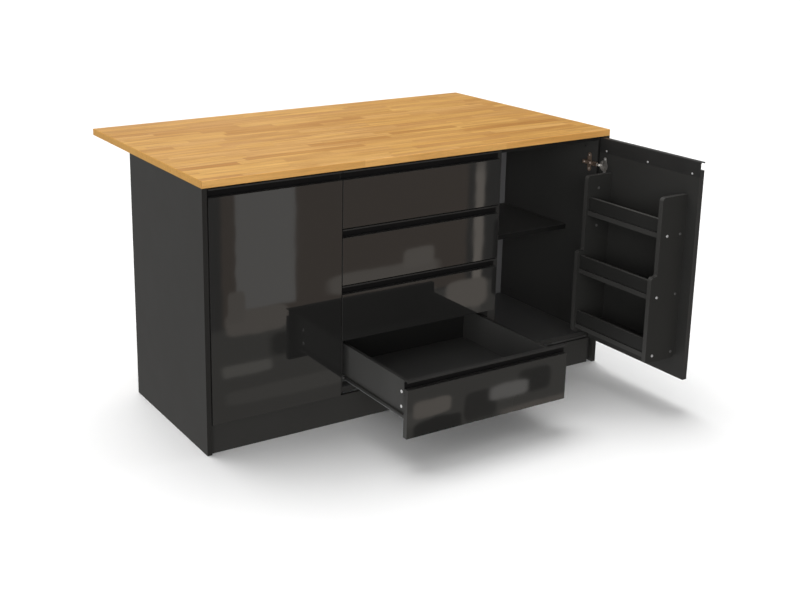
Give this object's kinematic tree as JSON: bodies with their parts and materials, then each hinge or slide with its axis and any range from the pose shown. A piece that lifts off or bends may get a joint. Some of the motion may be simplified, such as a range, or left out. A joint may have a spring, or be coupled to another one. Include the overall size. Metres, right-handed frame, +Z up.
{
  "type": "kitchen island unit",
  "caption": "Free-standing kitchen island: a wooden worktop with bar overhang over fitted units, with doors, drawers and a spice rack inside one open door.",
  "frame": {"origin": "on the floor, at the centre of the whole island's box with the right door and the bottom drawer open as in the picture", "axes": "+X to the right along the fronts, +Y from the fronts to the back under the overhang, +Z up"},
  "size_m": [1.532, 1.3198, 0.846],
  "materials": {
    "oak_staves": "oiled oak staves",
    "anthracite_panel": "matt melamine on board",
    "anthracite_inside": "matt melamine on board",
    "black_gloss_front": "high gloss on board",
    "black_rail": "matt black coated profile",
    "steel_screw": "zinc plated",
    "nickel": "nickel plated",
    "runner_grey": "light grey epoxy coat",
    "glide_black": "moulded"
  },
  "bodies": {
    "island": {"worktop": "oak_staves", "end_panel_left": "anthracite_panel", "end_panel_right": "anthracite_panel", "plinth_board": "anthracite_panel", "rear_panel": "anthracite_panel", "left_unit_sides": "anthracite_inside", "drawer_unit_sides": "anthracite_inside", "right_unit_sides": "anthracite_inside", "left_unit_bottom": "anthracite_inside", "drawer_unit_bottom": "anthracite_inside", "right_unit_bottom": "anthracite_inside", "left_unit_back": "anthracite_inside", "drawer_unit_back": "anthracite_inside", "right_unit_back": "anthracite_inside", "top_stretchers": "anthracite_inside", "left_unit_shelf": "anthracite_inside", "right_unit_shelf": "anthracite_inside", "shelf_pins": "nickel", "hinge_arms": "nickel", "cabinet_runners": "runner_grey", "floor_glides": "glide_black", "carcass_screws": "steel_screw"},
    "left_door": {"left_door_board": "black_gloss_front", "left_door_rail": "black_rail", "left_door_hinge_cups": "nickel", "left_door_rail_screws": "steel_screw"},
    "left_hinge_links": {"left_hinge_links": "nickel"},
    "right_door": {"right_door_board": "black_gloss_front", "right_door_rail": "black_rail", "right_door_hinge_cups": "nickel", "right_door_rail_screws": "steel_screw", "right_door_rack_cheeks": "anthracite_panel", "right_door_rack_trays": "anthracite_panel", "right_door_rack_rails": "anthracite_panel", "right_door_rack_screws": "steel_screw"},
    "right_hinge_links": {"right_hinge_links": "nickel"},
    "drawer1": {"drawer1_front_board": "black_gloss_front", "drawer1_handle_rail": "black_rail", "drawer1_box_sides": "anthracite_inside", "drawer1_box_back": "anthracite_inside", "drawer1_box_bottom": "anthracite_inside", "drawer1_runners": "runner_grey"},
    "drawer2": {"drawer2_front_board": "black_gloss_front", "drawer2_handle_rail": "black_rail", "drawer2_box_sides": "anthracite_inside", "drawer2_box_back": "anthracite_inside", "drawer2_box_bottom": "anthracite_inside", "drawer2_runners": "runner_grey"},
    "drawer3": {"drawer3_front_board": "black_gloss_front", "drawer3_handle_rail": "black_rail", "drawer3_box_sides": "anthracite_inside", "drawer3_box_back": "anthracite_inside", "drawer3_box_bottom": "anthracite_inside", "drawer3_runners": "runner_grey"},
    "drawer4": {"drawer4_front_board": "black_gloss_front", "drawer4_handle_rail": "black_rail", "drawer4_box_sides": "anthracite_inside", "drawer4_box_back": "anthracite_inside", "drawer4_box_bottom": "anthracite_inside", "drawer4_runners": "runner_grey"}
  },
  "joints": [
    {"name": "left_door_hinge", "type": "hinge", "parent": "island", "child": "left_door", "pos_m": [-0.74465, -0.21675, 0.46], "axis": [0, 0, 1], "range_deg": [-95, 0]},
    {"name": "left_hinge_fold", "type": "hinge", "parent": "island", "child": "left_hinge_links", "pos_m": [-0.726, -0.2099, 0.46], "axis": [0, 0, 1], "range_deg": [-114, 0]},
    {"name": "right_door_hinge", "type": "hinge", "parent": "island", "child": "right_door", "pos_m": [0.74465, -0.21675, 0.46], "axis": [0, 0, 1], "range_deg": [-90, 5]},
    {"name": "right_hinge_fold", "type": "hinge", "parent": "island", "child": "right_hinge_links", "pos_m": [0.726, -0.2099, 0.46], "axis": [0, 0, 1], "range_deg": [-108, 6]},
    {"name": "drawer1_slide", "type": "slide", "parent": "island", "child": "drawer1", "axis": [0, -1, 0], "range_m": [0, 0.4]},
    {"name": "drawer2_slide", "type": "slide", "parent": "island", "child": "drawer2", "axis": [0, -1, 0], "range_m": [0, 0.4]},
    {"name": "drawer3_slide", "type": "slide", "parent": "island", "child": "drawer3", "axis": [0, -1, 0], "range_m": [0, 0.4]},
    {"name": "drawer4_slide", "type": "slide", "parent": "island", "child": "drawer4", "axis": [0, -1, 0], "range_m": [-0.362, 0.038]}
  ],
  "couplings": [
    {"joint": "left_hinge_fold", "follows": "left_door_hinge", "ratio": 1.2},
    {"joint": "right_hinge_fold", "follows": "right_door_hinge", "ratio": 1.2}
  ]
}
